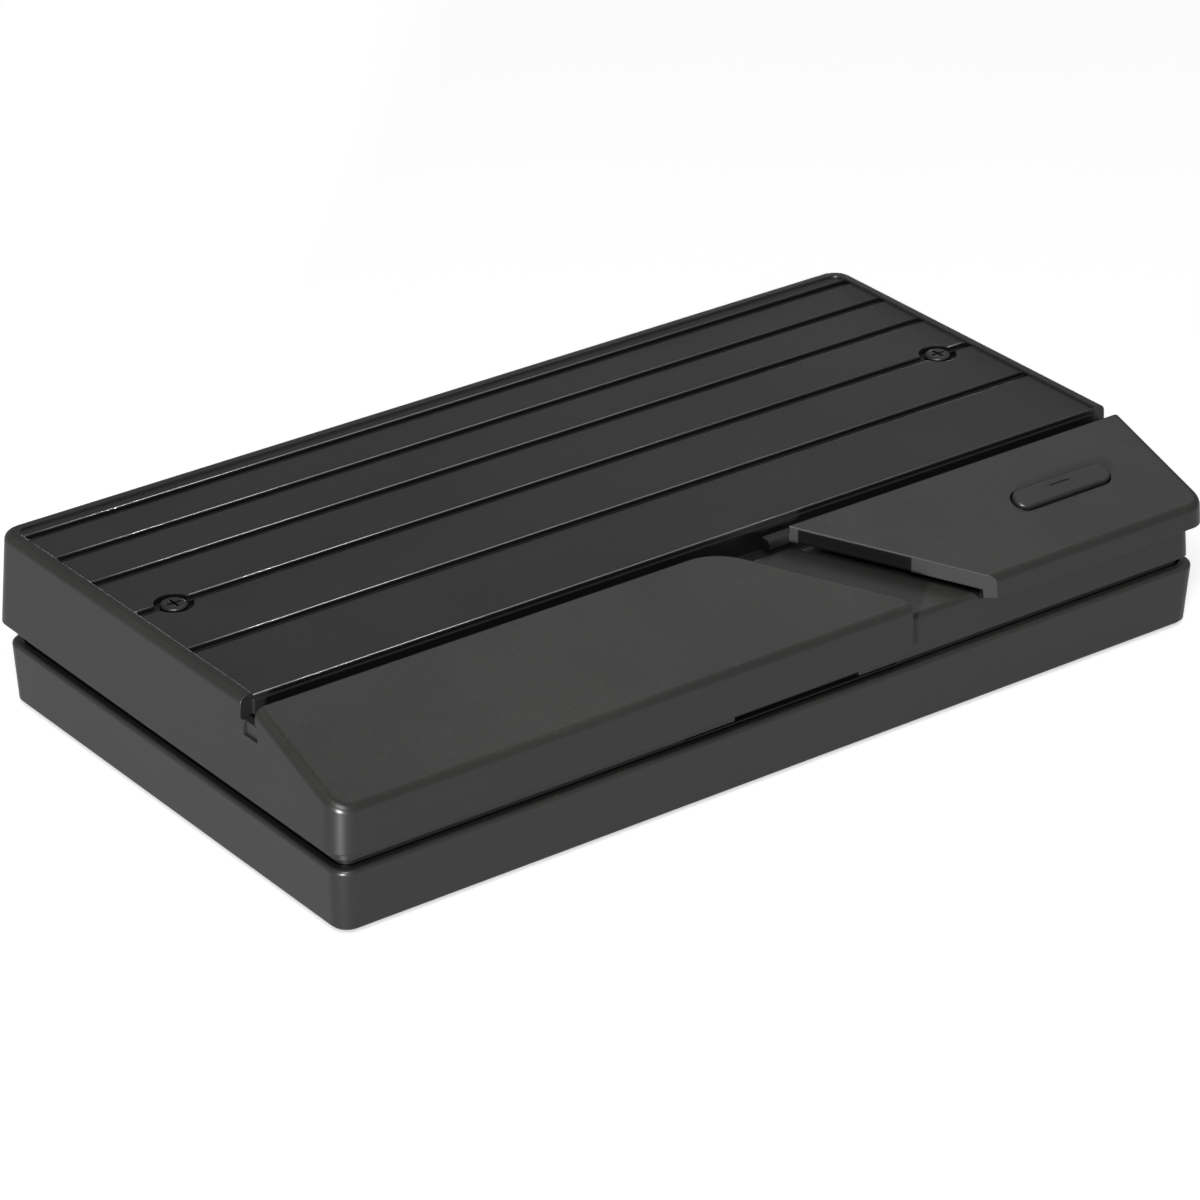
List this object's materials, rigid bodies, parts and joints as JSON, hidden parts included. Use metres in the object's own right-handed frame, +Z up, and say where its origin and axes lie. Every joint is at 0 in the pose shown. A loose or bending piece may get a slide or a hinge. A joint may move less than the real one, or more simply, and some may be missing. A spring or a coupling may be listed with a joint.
{
  "type": "satellite tv receiver",
  "caption": "Flat satin black receiver box: ribbed vented deck, sloping hood, raised front wing with a pill-shaped power button, sockets at the back.",
  "frame": {"origin": "on the surface it stands on, under the middle of the whole object, sockets included", "axes": "+X to the right seen from the front, along the case's length; +Y from the front to the back; +Z up"},
  "size_m": [0.222, 0.1298, 0.0395],
  "materials": {
    "case_black": "satin, fine grain",
    "button_black": "satin",
    "light_guide": "smoked, glossy",
    "connector_black": "moulded",
    "connector_white": "moulded",
    "board_green": "solder mask over copper tracks",
    "chip_black": "moulded",
    "pad_grey": "soft",
    "lamp_white": "clear",
    "sink_aluminium": "anodised",
    "can_aluminium": "drawn",
    "sheet_steel": "tinned",
    "screw_steel": "blackened",
    "nickel": "turned, nickel plated",
    "panel_black": "satin",
    "shutter_grey": "moulded",
    "foot_rubber": "matt"
  },
  "bodies": {
    "case": {"bottom_tray": "case_black", "mid_frame": "case_black", "top_cover": "case_black", "front_wing": "case_black", "status_light_bar": "light_guide", "tact_switch": "connector_black", "front_board": "board_green", "front_board_screws": "screw_steel", "status_led": "lamp_white", "infrared_receiver": "connector_black", "ribbon_sockets": "connector_white", "ribbon_cable": "connector_white", "main_board": "board_green", "board_screws": "screw_steel", "processor": "chip_black", "thermal_pad": "pad_grey", "heat_sink": "sink_aluminium", "memory_chips": "chip_black", "power_coils": "chip_black", "capacitors": "can_aluminium", "card_reader": "sheet_steel", "rear_panel": "panel_black", "tuner_can": "sheet_steel", "aerial_socket_left": "nickel", "aerial_socket_right": "nickel", "aerial_nuts": "nickel", "hdmi_socket": "sheet_steel", "usb_sockets": "sheet_steel", "service_socket": "sheet_steel", "network_socket": "connector_black", "optical_socket": "connector_black", "power_jack": "connector_black", "rubber_feet": "foot_rubber", "case_screws": "screw_steel", "cover_screws": "screw_steel", "wifi_boards": "board_green"},
    "button": {"power_button": "button_black", "switch_plunger": "connector_black"},
    "shutter": {"optical_shutter": "shutter_grey"}
  },
  "joints": [
    {"name": "button_press", "type": "slide", "parent": "case", "child": "button", "axis": [0, 0.3398, -0.9405], "range_m": [0, 0.0005], "stiffness_N_per_m": 800, "springref_m": -0.0005},
    {"name": "shutter_swing", "type": "hinge", "parent": "case", "child": "shutter", "pos_m": [0.0123, 0.0544, 0.01995], "axis": [-1, 0, 0], "range_deg": [0, 80], "stiffness_Nm_per_rad": 0.0005, "springref_deg": -9.74}
  ]
}
